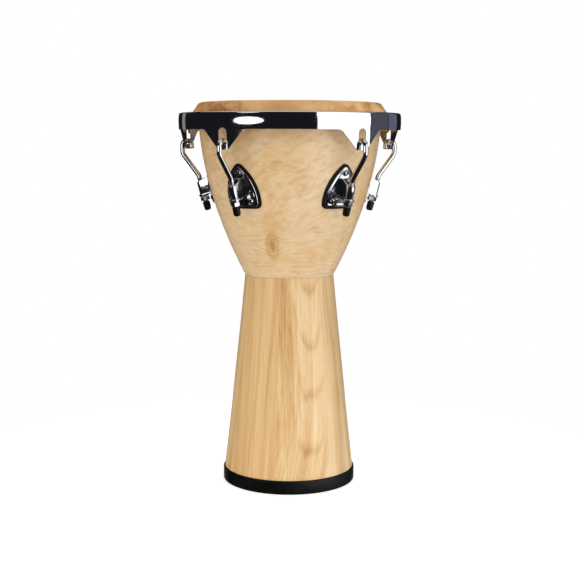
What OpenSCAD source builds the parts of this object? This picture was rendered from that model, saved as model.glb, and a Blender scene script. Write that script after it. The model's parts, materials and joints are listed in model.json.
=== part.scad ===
// Goblet hand drum (djembe) with a bolt-on mechanical tuning system.
// The Z axis is the drum's own axis and points up; the origin is the centre of the foot,
// on the floor. The player's side is -Y, and the gap between two lugs faces it.
// All sizes are in millimetres.

/* [Shell] */
// Height of the playing surface above the floor
drum_h = 614; // [600:1:640]
// Height of the glued joint between the stem and the bowl
joint_z = 339; // [330:1:345]
// Outer radius of the bowl at its bearing edge
head_r = 147; // [144:0.5:150]
// Outer radius of the drum at the glued joint
waist_r = 72; // [70:0.5:76]
// Power of the bowl's curve: 1 is a straight cone, 2 is a parabola
bowl_curve = 1.85; // [1.7:0.05:2]
// Wall thickness at the bearing edge, measured level
wall_top = 16; // [14:1:18]
// Extra wall thickness at the bottom of the bowl
wall_gain = 10; // [8:1:12]
// Outer radius of the stem just above the foot ring
stem_foot_r = 105.5; // [103:0.5:107]
// Wall thickness of the stem's staves
stave_t = 17; // [15:1:19]
// Bearing of the first glue seam of the stem, from the player's side, in degrees
seam_start = -13.4; // [-26:0.1:26]
// Height of the rubber foot ring
foot_h = 22; // [18:1:26]
// Outer radius of the rubber foot ring
foot_r = 108; // [107.5:0.5:110]

/* [Head and crown] */
// Thickness of the rawhide
skin_t = 1.6; // [1.2:0.1:2]
// Centre radius of the steel flesh hoop
hoop_r = 168; // [167:0.5:168.5]
// Outer radius of the crown's band
crown_r = 177.6; // [177:0.1:179]
// Sheet thickness of the crown
crown_t = 3; // [2.5:0.1:3]
// Height of the crown's band
crown_h = 26.5; // [24:0.5:28]
// Width of a crown wing where it leaves the band
wing_w = 75; // [66:1:82]
// Width of a crown wing at its tip
wing_tip_w = 18; // [16:1:22]
// Drop of a crown wing below the band
wing_h = 30.5; // [29:0.5:32]

/* [Lugs] */
// Lean of a tension rod away from upright, in degrees
lug_tilt = 16; // [15:0.5:17]
// Height of a lug's ledge, measured on its rod's axis
lug_z = 467; // [464:1:470]
// Distance of a rod's axis from the drum's axis at that height
rod_axis_r = 147.5; // [147:0.5:149]
// Diameter of a tension rod
rod_d = 8; // [7.5:0.1:8]
// Thickness of the rubber gasket under a side plate
gasket_t = 2; // [1.5:0.1:2.5]
// Sheet thickness of a side plate
plate_t = 2.5; // [2:0.1:3]
// Width of a side plate's gasket
gasket_w = 61; // [58:1:66]
// Height of a side plate's gasket along the shell
gasket_h = 71; // [66:1:72]
// Margin of gasket that shows around the plate
gasket_margin = 3.8; // [3:0.2:5]
// Diameter of a mounting bolt
bolt_d = 6; // [5:0.5:6]

/* [Hidden] */
LUGS = 5;
STAVES = 7;
LUG_STEP = 360 / LUGS;
STAVE_STEP = 360 / STAVES;
SMOOTH = 96;
ROUND = 48;

// Bearing edge: a quarter-round shoulder whose centre is edge_c in the profile plane.
edge_round = 6;
edge_c = [head_r - edge_round, drum_h - skin_t - edge_round];
bowl_top = edge_c.y;
bowl_inner_edge = head_r - wall_top;

// Levels of the bowl's profile points.
bowl_steps = 40;
function bowl_level(i) = joint_z + (bowl_top - joint_z) * i / bowl_steps;

// Outer radius of the bowl at height z.
function bowl_r(z) =
    head_r - (head_r - waist_r) * pow((bowl_top - z) / (bowl_top - joint_z), bowl_curve);
// Inner radius of the bowl at height z.
function bowl_inner_r(z) =
    bowl_r(z) - wall_top - wall_gain * (bowl_top - z) / (bowl_top - joint_z);
// Lean of the bowl's outer surface at height z, in degrees from upright.
function bowl_tilt(z) = atan2(bowl_r(z + 1) - bowl_r(z - 1), 2);

// Stem: a gentle flare from the waist to the foot.
stem_steps = 14;
stem_flare = 1.06;
foot_lip = 4;
foot_wall = 6;
foot_bore_r = 86;
rebate_r = foot_r - foot_wall;
neck_bore_r = 52;
tenon_r = 62;
tenon_h = 13;
socket_h = 13.5;
socket_gap = 0.2;
function stem_r(z) =
    waist_r + (stem_foot_r - waist_r) * pow((joint_z - z) / (joint_z - foot_h), stem_flare);
function stem_level(i) = foot_h + (joint_z - foot_h) * i / stem_steps;
function stave_name(k) = str("stem_stave_", k);

// Lug k stands at this azimuth about Z, measured from +X.
function lug_azimuth(k) = (k - 0.5) * LUG_STEP - 90;

// Flesh hoop and the rawhide wrapped round it.
hoop_wire_r = 4;
hoop_z = drum_h - 26;
hoop_c = [hoop_r, hoop_z];
hide_gap = 0.3;
wrap_r = hoop_wire_r + hide_gap + skin_t / 2;
edge_path_r = edge_round + skin_t / 2;
wrap_end = 495;
collar_v = hoop_c - edge_c;
// Direction, from the profile's +X, of the collar's outward normal.
collar_a = acos((edge_path_r + wrap_r) / norm(collar_v)) + atan2(collar_v.y, collar_v.x);

// Crown.
crown_top = drum_h - 16.5;
crown_bottom = crown_top - crown_h;
flange_t = 3.2;
flange_inner_r = 160;
bead_r = 2.2;
window_w = 15;
window_top = crown_bottom + 2;
window_bottom = crown_bottom - 22.6;
wing_fillet = 12;
wing_corner = 4;

// Tension hook: heights and radii of its rod's axis in the plane through the drum's axis.
hook_bend_r = 8;
hook_c = [176.4, window_bottom - 2.4];
hook_tip_drop = 5;
hook_out_r = hook_c.x + hook_bend_r;
hook_knee_z = hook_c.y - 13;
rod_knee_z = lug_z + 30;
knee_round = 14;
// Each straight run laps this far into a bend, which is a hair fatter so that it covers it.
rod_lap = 0.6;
bend_swell = 0.05;
rod_slope = tan(lug_tilt);
rod_knee = [rod_axis_r + (rod_knee_z - lug_z) * rod_slope, rod_knee_z];
hook_knee = [hook_out_r, hook_knee_z];

// Lug bracket, in the lug's own frame: Z along the rod, X outwards, origin on the ledge.
ledge_t = 3;
ledge_half_w = 8.5;
rod_hole_r = 4.55;
strap_in_r = 4.7;
strap_out_r = 6.4;
strap_front_h = 20;
strap_back_h = 27;
washer_r = 7.6;
washer_t = 1.6;
nut_gap = 0.3;
nut_af = 13;
nut_h = 6.5;
nut_bore_r = 4.35;
nut_top = -ledge_t - washer_t - nut_gap;
cap_gap = 1.4;
cap_top = nut_top - nut_h - cap_gap;
cap_r = 6;
cap_len = 15;
cap_fit = 0.1;
rod_end = cap_top - 12;

// Mounting bolts of a side plate: level and sideways offset of each.
top_bolt_z = lug_z + 39.5;
low_bolt_z = lug_z - 3.5;
low_bolt_a = 6.3;
bolt_places = [[0, top_bolt_z], [-low_bolt_a, low_bolt_z], [low_bolt_a, low_bolt_z]];
bolt_head_r = 5.2;
bolt_head_h = 3.4;
bolt_hole_r = bolt_d / 2 + 0.25;
bolt_len = 34;
bolt_nut_af = 10;
bolt_nut_h = 5;
bolt_nut_place = 1.9;
backing_t = 2;
backing_gap = 0.1;

// A level range that spans the side plates, for the bands they are cut from.
patch_low = 12;
patch_high = 30;
gasket_z = 450.5;

// Points of an arc about c, from angle a0 to a1.
function arc(c, r, a0, a1, n) =
    [for (i = [0:n]) c + r * [cos(a0 + (a1 - a0) * i / n), sin(a0 + (a1 - a0) * i / n)]];

// Right half of a shield outline with its base on y = 0: a rounded base corner, a side that
// is one large arc, and a rounded tip. hw is its half width at height y0.
function shield_half(hw, h, y0, tip, corner) =
    let (
        a = h - tip - y0,
        r = (a * a + hw * hw - tip * tip) / (2 * (hw - tip)),
        corner_x = hw - r + sqrt(pow(r - corner, 2) - pow(corner - y0, 2)),
        a_corner = atan2(corner - y0, corner_x + r - hw),
        a_tip = atan2(a, r - hw)
    )
    concat(
        arc([corner_x, corner], corner, -90, a_corner, 6),
        arc([hw - r, y0], r, a_corner, a_tip, 14),
        arc([0, h - tip], tip, a_tip, 90, 6)
    );

// A half outline joined to its mirror image across x = 0.
function mirrored(half) =
    concat(half, [for (i = [len(half) - 1:-1:0]) [-half[i].x, half[i].y]]);

// Places children on lug k, with X pointing straight out from the drum.
module at_lug(k) {
    rotate([0, 0, lug_azimuth(k)])
        children();
}

// Places children in the lug's own frame: Z along the rod, X outwards.
module at_rod(k) {
    at_lug(k)
        translate([rod_axis_r, 0, lug_z])
            rotate([0, lug_tilt, 0])
                children();
}

// Places children on the bowl's outer surface, with Z pointing out of the wood.
module at_bolt(k, place) {
    rotate([0, 0, lug_azimuth(k) + place[0]])
        translate([bowl_r(place[1]), 0, place[1]])
            rotate([0, 90 + bowl_tilt(place[1]), 0])
                children();
}

// A ring that follows the bowl's outside, from offset d0 to d1 beyond it.
module outer_band(d0, d1) {
    levels = [for (i = [patch_low:patch_high]) bowl_level(i)];
    rotate_extrude($fn = SMOOTH)
        polygon(concat(
            [for (z = levels) [bowl_r(z) + d1, z]],
            [for (i = [len(levels) - 1:-1:0]) [bowl_r(levels[i]) + d0, levels[i]]]
        ));
}

// A ring that follows the bowl's inside, from offset d0 to d1 inwards.
module inner_band(d0, d1) {
    levels = [for (i = [patch_low:patch_high]) bowl_level(i)];
    rotate_extrude($fn = SMOOTH)
        polygon(concat(
            [for (z = levels) [bowl_inner_r(z) - d0, z]],
            [for (i = [len(levels) - 1:-1:0]) [bowl_inner_r(levels[i]) - d1, levels[i]]]
        ));
}

// The shield outline of lug k as a prism that runs in and out of the drum.
module shield_prism(k, inset) {
    reach = 60;
    base = (gasket_z - lug_z) / cos(lug_tilt) - 6 + inset;
    at_rod(k)
        translate([-reach, 0, base])
            rotate([90, 0, 90])
                linear_extrude(reach)
                    polygon(mirrored(shield_half(
                        gasket_w / 2 - inset, gasket_h - 2 * inset, 16 - inset, 10 - inset, 9 - inset
                    )));
}

module bolt_holes(k) {
    for (place = bolt_places)
        at_bolt(k, place)
            cylinder(h = 90, r = bolt_hole_r, center = true, $fn = ROUND);
}

// A chamfered hexagon nut blank, h tall, with its base on z = 0.
module hex_blank(af, h) {
    chamfer = af * 0.06;
    corner_r = af / sqrt(3);
    intersection() {
        cylinder(h = h, r = corner_r, $fn = 6);
        rotate_extrude($fn = ROUND)
            polygon([
                [0, 0], [corner_r - chamfer, 0], [corner_r, chamfer * 0.6],
                [corner_r, h - chamfer * 0.6], [corner_r - chamfer, h], [0, h]
            ]);
    }
}

// Turned wooden bowl with its bearing edge and the socket for the stem's tenon.
module bowl() {
    levels = [for (i = [0:bowl_steps]) bowl_level(i)];
    socket_top = joint_z + socket_h;
    color("burlywood")
        difference() {
            rotate_extrude($fn = SMOOTH)
                polygon(concat(
                    [for (z = levels) [bowl_r(z), z]],
                    arc(edge_c, edge_round, 6, 125, 12),
                    [[bowl_inner_edge, bowl_top - 4]],
                    [for (i = [bowl_steps - 1:-1:0]) if (levels[i] > socket_top + 2)
                        [bowl_inner_r(levels[i]), levels[i]]],
                    [
                        [neck_bore_r, socket_top],
                        [tenon_r + socket_gap, socket_top],
                        [tenon_r + socket_gap, joint_z]
                    ]
                ));
            for (k = [1:LUGS])
                bolt_holes(k);
        }
}

// One stave of the stem, with its share of the tenon and of the foot's rebate.
module stem_stave(k) {
    color(k % 2 == 0 ? "navajowhite" : "wheat")
        rotate([0, 0, (k - 1) * STAVE_STEP - 90 + seam_start])
            rotate_extrude(angle = STAVE_STEP, $fn = SMOOTH)
                polygon(concat(
                    [[rebate_r, foot_lip], [rebate_r, foot_h]],
                    [for (i = [0:stem_steps]) [stem_r(stem_level(i)), stem_level(i)]],
                    [
                        [tenon_r, joint_z],
                        [tenon_r, joint_z + tenon_h],
                        [neck_bore_r, joint_z + tenon_h],
                        [neck_bore_r, joint_z]
                    ],
                    [[stem_foot_r - stave_t, foot_lip]]
                ));
}

// Rubber ring that the drum stands on; its lip tucks under the staves.
module rubber_foot() {
    edge = 2;
    color([0.1, 0.1, 0.1])
        rotate_extrude($fn = SMOOTH)
            polygon(concat(
                [[foot_bore_r, 0], [foot_r, 0]],
                arc([foot_r - edge, foot_h - edge], edge, 0, 90, 6),
                [[rebate_r, foot_h], [rebate_r, foot_lip], [foot_bore_r, foot_lip]]
            ));
}

// Rawhide head: flat top, over the bearing edge, down the collar and round the hoop.
module drum_skin() {
    half = skin_t / 2;
    color("tan")
        rotate_extrude($fn = SMOOTH)
            polygon(concat(
                [[0, drum_h]],
                arc(edge_c, edge_path_r + half, 90, collar_a, 8),
                arc(hoop_c, wrap_r - half, collar_a + 180, wrap_end, 24),
                arc(hoop_c, wrap_r + half, wrap_end, collar_a + 180, 24),
                arc(edge_c, edge_path_r - half, collar_a, 90, 8),
                [[0, drum_h - skin_t]]
            ));
}

// Steel ring that the rawhide is lapped round.
module flesh_hoop() {
    color("dimgray")
        rotate_extrude($fn = SMOOTH)
            translate(hoop_c)
                circle(r = hoop_wire_r, $fn = ROUND);
}

// Outline of a crown wing, y up, with y = 0 at the band's lower edge.
function wing_half() =
    let (
        side_a = atan2(wing_h, (wing_w - wing_tip_w) / 2),
        fillet_t = wing_fillet * tan(side_a / 2),
        corner_t = wing_corner * tan(side_a / 2)
    )
    concat(
        arc([wing_tip_w / 2 - corner_t, -wing_h + wing_corner], wing_corner, -90, side_a - 90, 5),
        arc([wing_w / 2 + fillet_t, -wing_fillet], wing_fillet, 90 + side_a, 90, 6),
        [[wing_w / 2 + fillet_t, crown_t]]
    );

module window_outline() {
    top_r = window_w / 2;
    translate([0, window_top - top_r])
        circle(r = top_r, $fn = ROUND);
    translate([-top_r, window_bottom])
        square([window_w, window_top - top_r - window_bottom]);
}

// Crown: band with a rolled top edge, inward flange, and five wings with a window each.
module crown_rim() {
    inner_r = crown_r - crown_t;
    bead_c = [crown_r + 0.4 - bead_r, crown_top - bead_r + 0.3];
    wing_z = crown_bottom - wing_h - 1;
    color("silver")
        difference() {
            union() {
                rotate_extrude($fn = SMOOTH)
                    union() {
                        translate([inner_r, crown_bottom])
                            square([crown_t, crown_h - 1]);
                        translate([flange_inner_r, crown_top - flange_t])
                            square([bead_c.x - flange_inner_r, flange_t]);
                        translate(bead_c)
                            circle(r = bead_r, $fn = ROUND);
                    }
                intersection() {
                    difference() {
                        translate([0, 0, wing_z])
                            cylinder(h = wing_h + 3, r = crown_r, $fn = SMOOTH);
                        translate([0, 0, wing_z - 1])
                            cylinder(h = wing_h + 5, r = inner_r, $fn = SMOOTH);
                    }
                    for (k = [1:LUGS])
                        at_lug(k)
                            translate([inner_r - 12, 0, crown_bottom])
                                rotate([90, 0, 90])
                                    linear_extrude(20)
                                        polygon(mirrored(wing_half()));
                }
            }
            for (k = [1:LUGS])
                at_lug(k)
                    translate([inner_r - 12, 0, 0])
                        rotate([90, 0, 90])
                            linear_extrude(20)
                                window_outline();
        }
}

// Rubber gasket between the wood and a side plate.
module plate_gasket(k) {
    color([0.08, 0.08, 0.08])
        difference() {
            intersection() {
                outer_band(0, gasket_t);
                shield_prism(k, 0);
            }
            bolt_holes(k);
        }
}

// Side plate with its cast bracket: a strap round the rod and a ledge for the nut.
module side_plate(k) {
    reach = 19;
    color("gainsboro")
        difference() {
            union() {
                intersection() {
                    outer_band(gasket_t, gasket_t + plate_t);
                    shield_prism(k, gasket_margin);
                }
                difference() {
                    at_rod(k)
                        union() {
                            difference() {
                                linear_extrude(strap_back_h)
                                    union() {
                                        circle(r = strap_out_r, $fn = ROUND);
                                        translate([-reach, -strap_out_r])
                                            square([reach, 2 * strap_out_r]);
                                    }
                                // The strap's top slopes down towards its front.
                                rotate([90, 0, 0])
                                    linear_extrude(40, center = true)
                                        polygon([
                                            [strap_out_r + 1, strap_front_h - 1],
                                            [strap_out_r + 1, strap_back_h + 5],
                                            [-reach - 1, strap_back_h + 5],
                                            [-reach + 4, strap_back_h]
                                        ]);
                                translate([0, 0, -1])
                                    linear_extrude(strap_back_h + 5)
                                        union() {
                                            circle(r = strap_in_r, $fn = ROUND);
                                            translate([-reach - 1, -strap_in_r])
                                                square([reach + 1, 2 * strap_in_r]);
                                        }
                            }
                            translate([0, 0, -ledge_t])
                                linear_extrude(ledge_t)
                                    union() {
                                        circle(r = ledge_half_w, $fn = ROUND);
                                        translate([-reach - 4, -ledge_half_w])
                                            square([reach + 4, 2 * ledge_half_w]);
                                    }
                        }
                    outer_band(-25, gasket_t + plate_t / 2);
                }
            }
            at_rod(k)
                translate([0, 0, -ledge_t - 1])
                    cylinder(h = ledge_t + 2, r = rod_hole_r, $fn = ROUND);
            bolt_holes(k);
        }
}

// Three domed mounting bolts of one side plate.
module plate_bolts(k) {
    rest = gasket_t + plate_t;
    dome_r = (pow(bolt_head_r, 2) + pow(bolt_head_h, 2)) / (2 * bolt_head_h);
    color("lightsteelblue")
        for (place = bolt_places)
            at_bolt(k, place)
                union() {
                    translate([0, 0, rest])
                        rotate_extrude($fn = ROUND)
                            polygon(concat(
                                [[0, 0], [bolt_head_r, 0]],
                                arc([0, bolt_head_h - dome_r], dome_r,
                                    asin((dome_r - bolt_head_h) / dome_r) + 6, 90, 8)
                            ));
                    translate([0, 0, rest - bolt_len])
                        cylinder(h = bolt_len + 1, d = bolt_d, $fn = ROUND);
                }
}

// Steel backing plate inside the bowl.
module backing_plate(k) {
    color("darkgray")
        difference() {
            intersection() {
                inner_band(backing_gap, backing_gap + backing_t);
                shield_prism(k, gasket_margin + 4);
            }
            bolt_holes(k);
        }
}

// Three hexagon nuts on the inner ends of the mounting bolts.
module plate_nuts(k) {
    color("gray")
        for (place = bolt_places)
            at_bolt(k, place)
                translate([0, 0, gasket_t + plate_t - bolt_len + bolt_nut_place])
                    difference() {
                        hex_blank(bolt_nut_af, bolt_nut_h);
                        translate([0, 0, -1])
                            cylinder(h = bolt_nut_h + 2, r = bolt_d / 2 + 0.05, $fn = ROUND);
                    }
}

// Washers between the ledges and the tuning nuts, one solid for each lug.
module lug_washers() {
    color("silver")
        for (k = [1:LUGS])
            at_rod(k)
                translate([0, 0, -ledge_t - washer_t])
                    difference() {
                        cylinder(h = washer_t, r = washer_r, $fn = ROUND);
                        translate([0, 0, -1])
                            cylinder(h = washer_t + 2, r = rod_hole_r, $fn = ROUND);
                    }
}

// A straight run of rod between two points of the profile plane, lapped into its neighbours.
module rod_run(p, q, lap_p = rod_lap, lap_q = rod_lap) {
    d = q - p;
    translate([p.x, 0, p.y])
        rotate([0, atan2(d.x, d.y), 0])
            translate([0, 0, -lap_p])
                cylinder(h = norm(d) + lap_p + lap_q, d = rod_d, $fn = ROUND);
}

// A bend of the rod about c in the profile plane, from angle a0 to a1.
module rod_bend(c, r, a0, a1) {
    translate([c.x, 0, c.y])
        rotate([90, 0, 0])
            rotate([0, 0, a0])
                rotate_extrude(angle = a1 - a0, $fn = SMOOTH)
                    translate([r, 0])
                        circle(d = rod_d + bend_swell, $fn = ROUND);
}

// Tension hook: an upturned hook over the crown's wing, a cranked shank and a threaded end.
module tension_hook(k) {
    slant = rod_knee - hook_knee;
    slant_u = slant / norm(slant);
    slant_a = atan2(-slant_u.x, -slant_u.y);
    top_t = knee_round * tan(slant_a / 2);
    low_t = knee_round * tan((slant_a - lug_tilt) / 2);
    top_bend_c = hook_knee + [-knee_round, top_t];
    top_bend_end = hook_knee + slant_u * top_t;
    low_bend_start = rod_knee - slant_u * low_t;
    low_bend_c = low_bend_start + knee_round * [-slant_u.y, slant_u.x];
    low_bend_end = rod_knee - low_t * [sin(lug_tilt), cos(lug_tilt)];
    shank_end = [rod_axis_r, lug_z] + rod_end * [sin(lug_tilt), cos(lug_tilt)];
    tip = hook_c - [hook_bend_r, 0];
    color("silver")
        at_lug(k)
            union() {
                rod_run(tip - [0, hook_tip_drop], tip, 0);
                rod_bend(hook_c, hook_bend_r, 0, 180);
                rod_run(top_bend_c + [knee_round, 0], [hook_out_r, hook_c.y]);
                rod_bend(top_bend_c, knee_round, -slant_a, 0);
                rod_run(low_bend_start, top_bend_end);
                rod_bend(low_bend_c, knee_round, 180 - slant_a, 180 - lug_tilt);
                rod_run(shank_end, low_bend_end, 0);
            }
}

// Soft cap pressed on the end of a tension rod.
module hook_cap(k) {
    nose = 4;
    color([0.05, 0.05, 0.05])
        at_rod(k)
            translate([0, 0, cap_top - cap_len])
                rotate_extrude($fn = ROUND)
                    polygon(concat(
                        [[0, 0]],
                        arc([cap_r - nose, nose], nose, -90, 0, 6),
                        [
                            [cap_r, cap_len],
                            [rod_d / 2 - cap_fit, cap_len],
                            [rod_d / 2 - cap_fit, rod_end - cap_top + cap_len],
                            [0, rod_end - cap_top + cap_len]
                        ]
                    ));
}

// Tuning nut under the ledge.
module lug_nut(k) {
    color("silver")
        at_rod(k)
            translate([0, 0, nut_top - nut_h])
                difference() {
                    hex_blank(nut_af, nut_h);
                    translate([0, 0, -1])
                        cylinder(h = nut_h + 2, r = nut_bore_r, $fn = ROUND);
                }
}

bowl();
for (k = [1:STAVES]) stem_stave(k);
rubber_foot();
drum_skin();
flesh_hoop();
crown_rim();
for (k = [1:LUGS]) plate_gasket(k);
for (k = [1:LUGS]) side_plate(k);
for (k = [1:LUGS]) plate_bolts(k);
for (k = [1:LUGS]) backing_plate(k);
for (k = [1:LUGS]) plate_nuts(k);
lug_washers();
for (k = [1:LUGS]) tension_hook(k);
for (k = [1:LUGS]) hook_cap(k);
for (k = [1:LUGS]) lug_nut(k);
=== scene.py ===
# %% [markdown]
# # A goblet hand drum and its tuning hardware
# The drum stands on a staved stem, and its rawhide head is drawn down by a chromed crown,
# five tension hooks and five nuts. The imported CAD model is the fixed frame: it says where
# every part lies and how it moves. This notebook makes the visible surfaces round it.
# Every surface here is worked out with numpy as whole arrays: a closed outline turned about
# the drum's axis, a round section carried along a path, or a grid bent onto the shell.

# %% Load the frame
import json
import math

import bmesh
import bpy
import numpy as np
from mathutils import Euler, Matrix, Vector


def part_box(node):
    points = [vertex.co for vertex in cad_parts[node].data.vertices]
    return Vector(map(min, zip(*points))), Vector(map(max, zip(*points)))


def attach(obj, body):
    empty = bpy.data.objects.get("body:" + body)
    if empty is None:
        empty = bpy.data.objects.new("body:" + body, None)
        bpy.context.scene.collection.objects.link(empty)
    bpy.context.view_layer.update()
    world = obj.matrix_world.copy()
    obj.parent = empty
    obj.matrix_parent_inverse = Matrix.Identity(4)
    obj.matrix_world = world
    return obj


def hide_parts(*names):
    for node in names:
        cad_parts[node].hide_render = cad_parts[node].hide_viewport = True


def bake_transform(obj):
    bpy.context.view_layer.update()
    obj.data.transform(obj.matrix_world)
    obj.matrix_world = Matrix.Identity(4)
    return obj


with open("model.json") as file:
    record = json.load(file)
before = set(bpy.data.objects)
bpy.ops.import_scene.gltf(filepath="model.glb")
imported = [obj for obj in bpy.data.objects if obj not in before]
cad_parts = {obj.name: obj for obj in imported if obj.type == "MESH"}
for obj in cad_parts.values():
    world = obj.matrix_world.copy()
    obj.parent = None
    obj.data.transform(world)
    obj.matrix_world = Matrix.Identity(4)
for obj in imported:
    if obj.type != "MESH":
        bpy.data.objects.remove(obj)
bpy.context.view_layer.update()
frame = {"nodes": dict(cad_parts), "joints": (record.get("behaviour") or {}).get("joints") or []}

MM = 0.001

# %% [markdown]
# ## Measures taken from the frame
# Boxes of the CAD nodes give the drum's heights and radii. A tuning nut's joint gives its
# lug's place: the joint's point is where the rod's axis crosses the ledge, and its axis is
# the rod's own, leaning outwards at the top.

# %% Shell and lug measures
joints = {joint["name"]: joint for joint in frame["joints"]}
bowl_low, bowl_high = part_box("bowl")
foot_high, skin_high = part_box("rubber_foot")[1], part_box("drum_skin")[1]
crown_low, crown_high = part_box("crown_rim")
hoop_low, hoop_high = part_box("flesh_hoop")
LUGS = sum(name.startswith("tension_hook_") for name in frame["nodes"])
STAVES = sum(name.startswith("stem_stave_") for name in frame["nodes"])

DRUM_H = skin_high.z
JOINT_Z = bowl_low.z
HEAD_R = bowl_high.x
FOOT_R = foot_high.x
FOOT_H = foot_high.z
SKIN_T = DRUM_H - bowl_high.z
# The shell's own design values, which no box gives.
WAIST_R = 72 * MM
BOWL_CURVE = 1.85
EDGE_ROUND = 6 * MM
EDGE_C = np.array([HEAD_R - EDGE_ROUND, bowl_high.z - EDGE_ROUND])
BOWL_TOP = EDGE_C[1]
WALL_TOP = 16 * MM
WALL_GAIN = 10 * MM
print(f"head radius {HEAD_R:.4f}, joint at {JOINT_Z:.4f}, top at {DRUM_H:.4f} m")


def bowl_r(z):
    """Outer radius of the bowl: the waist's radius plus a power curve up to the head's."""
    share = np.clip((BOWL_TOP - z) / (BOWL_TOP - JOINT_Z), 0, 1)
    return HEAD_R - (HEAD_R - WAIST_R) * share**BOWL_CURVE


def lug_place(k):
    """4x4 matrix of lug k: Z up its rod, X straight out, origin where the rod meets the ledge."""
    joint = joints[f"nut_{k}_turn"]
    z = np.array(joint["axis"])
    y = np.cross(z, [z[0], z[1], 0])
    y /= np.linalg.norm(y)
    place = np.eye(4)
    place[:3, 0], place[:3, 1], place[:3, 2] = np.cross(y, z), y, z
    place[:3, 3] = joint["pos_m"]
    return place


rod_point = np.array(joints["nut_1_turn"]["pos_m"])
rod_axis = np.array(joints["nut_1_turn"]["axis"])
LUG_Z = rod_point[2]
ROD_AXIS_R = float(np.hypot(rod_point[0], rod_point[1]))
LUG_TILT = math.acos(rod_axis[2])
print(f"rods lean {math.degrees(LUG_TILT):.1f} degrees, {ROD_AXIS_R:.4f} m from the axis")

# %% [markdown]
# ## Small tools for outlines and grids
# An outline is an array of points. Its corners are rounded with true arcs, because no real
# edge is perfectly sharp, and a rounded edge catches a line of light. A grid of points
# becomes a mesh by joining each point to its neighbours with four-sided faces.


# %% Outline and grid helpers
def arc(centre, radius, start, end, steps):
    """Points centre + radius (cos a, sin a) for angles a from start to end, in degrees."""
    a = np.radians(np.linspace(start, end, steps + 1))
    return np.asarray(centre) + radius * np.stack([np.cos(a), np.sin(a)], 1)


def rounded(points, radii, steps=5):
    """A closed outline whose corners are arcs tangent to both sides, with the given radii."""
    points = np.asarray(points, float)
    parts = []
    for i, radius in enumerate(radii):
        corner, before, after = points[i], points[i - 1], points[(i + 1) % len(points)]
        if radius == 0:
            parts.append(corner[None])
            continue
        u = (before - corner) / np.linalg.norm(before - corner)
        v = (after - corner) / np.linalg.norm(after - corner)
        half = math.acos(np.clip(u @ v, -1, 1)) / 2
        middle = (u + v) / np.linalg.norm(u + v)
        centre = corner + middle * radius / math.sin(half)
        a, b = corner + u * radius / math.tan(half) - centre, corner + v * radius / math.tan(half) - centre
        sweep = math.pi - 2 * half
        t = np.linspace(0, 1, steps + 1)[:, None]
        parts.append(centre + (np.sin((1 - t) * sweep) * a + np.sin(t * sweep) * b) / math.sin(sweep))
    return np.concatenate(parts)


def quads(rows, cols, wrap_rows=False, wrap_cols=False):
    """Corner numbers of the faces of a grid whose point (i, j) is number i * cols + j."""
    i = np.arange(rows if wrap_rows else rows - 1)
    j = np.arange(cols if wrap_cols else cols - 1)
    i, j = (a.ravel() for a in np.meshgrid(i, j, indexing="ij"))
    i2, j2 = (i + 1) % rows, (j + 1) % cols
    return np.stack([i * cols + j, i * cols + j2, i2 * cols + j2, i2 * cols + j], 1)


def tube_faces(rows, cols):
    """Faces of an open tube of rings, with one flat face over each end."""
    last = (rows - 1) * cols
    sides = [list(f) for f in quads(rows, cols, False, True)]
    return sides + [list(range(cols)), [last + i for i in reversed(range(cols))]]


def level_ring(a, r, z):
    """Points (r cos a, r sin a, z) at the angles a; r is one number or one for each angle."""
    return np.stack([r * np.cos(a), r * np.sin(a), np.full(len(a), z)], -1)


def moved(points, place):
    """Points through a 4x4 matrix: rotation times the point plus the matrix's offset."""
    return points @ place[:3, :3].T + place[:3, 3]


def new_piece(name, points, faces, material, body, replaces=(), sharp=40, closed=True):
    """One mesh: doubles merged, faces turned outwards, smooth but for edges over sharp degrees."""
    mesh = bpy.data.meshes.new(name)
    mesh.from_pydata(np.asarray(points).tolist(), [], [list(map(int, f)) for f in faces])
    work = bmesh.new()
    work.from_mesh(mesh)
    bmesh.ops.remove_doubles(work, verts=work.verts, dist=1e-6)
    bmesh.ops.dissolve_degenerate(work, edges=work.edges, dist=1e-7)
    if closed:
        bmesh.ops.recalc_face_normals(work, faces=work.faces)
    work.to_mesh(mesh)
    work.free()
    mesh.shade_smooth()
    mesh.set_sharp_from_angle(angle=math.radians(sharp))
    mesh.materials.append(material)
    piece = bpy.data.objects.new(name, mesh)
    bpy.context.scene.collection.objects.link(piece)
    if body:
        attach(piece, body)
    if replaces:
        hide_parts(*replaces)
    return piece


def at_each_lug(name, points, faces, material, body, replaced, sharp=40):
    """One piece for each lug k, from points in its own frame; {} in the body's name is k."""
    for k in range(1, LUGS + 1):
        new_piece(f"{name}_{k}", moved(points, lug_place(k)), faces, material, body.format(k),
                  [f"{replaced}_{k}"], sharp)
    print(f"{name}:", LUGS, "pieces of", len(points), "points")


def mesh_points(piece):
    """The piece's vertices as an (n, 3) array."""
    co = np.empty(len(piece.data.vertices) * 3)
    piece.data.vertices.foreach_get("co", co)
    return co.reshape(-1, 3)


def store(piece, name, values):
    """Keeps one number or one vector for each vertex, for the material to read by name."""
    values = np.asarray(values, np.float32)
    kind, field = ("FLOAT_VECTOR", "vector") if values.ndim == 2 else ("FLOAT", "value")
    piece.data.attributes.new(name, kind, "POINT").data.foreach_set(field, values.ravel())


def lathe(loop, steps=256, turn=(0, 360)):
    """Turned shape: point (r, z) of a closed loop, at angle a, goes to (r cos a, r sin a, z).

    Returns the points and faces. A part turn gets its two flat ends."""
    full = turn[1] - turn[0] >= 360
    a = np.radians(np.linspace(*turn, steps, endpoint=not full))
    r, z = np.asarray(loop).T
    grid = np.stack([np.outer(np.cos(a), r), np.outer(np.sin(a), r), np.broadcast_to(z, (steps, len(z)))], -1)
    if full:
        return grid.reshape(-1, 3), [list(f) for f in quads(steps, len(z), True, True)]
    return grid.reshape(-1, 3), tube_faces(steps, len(z))


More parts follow.
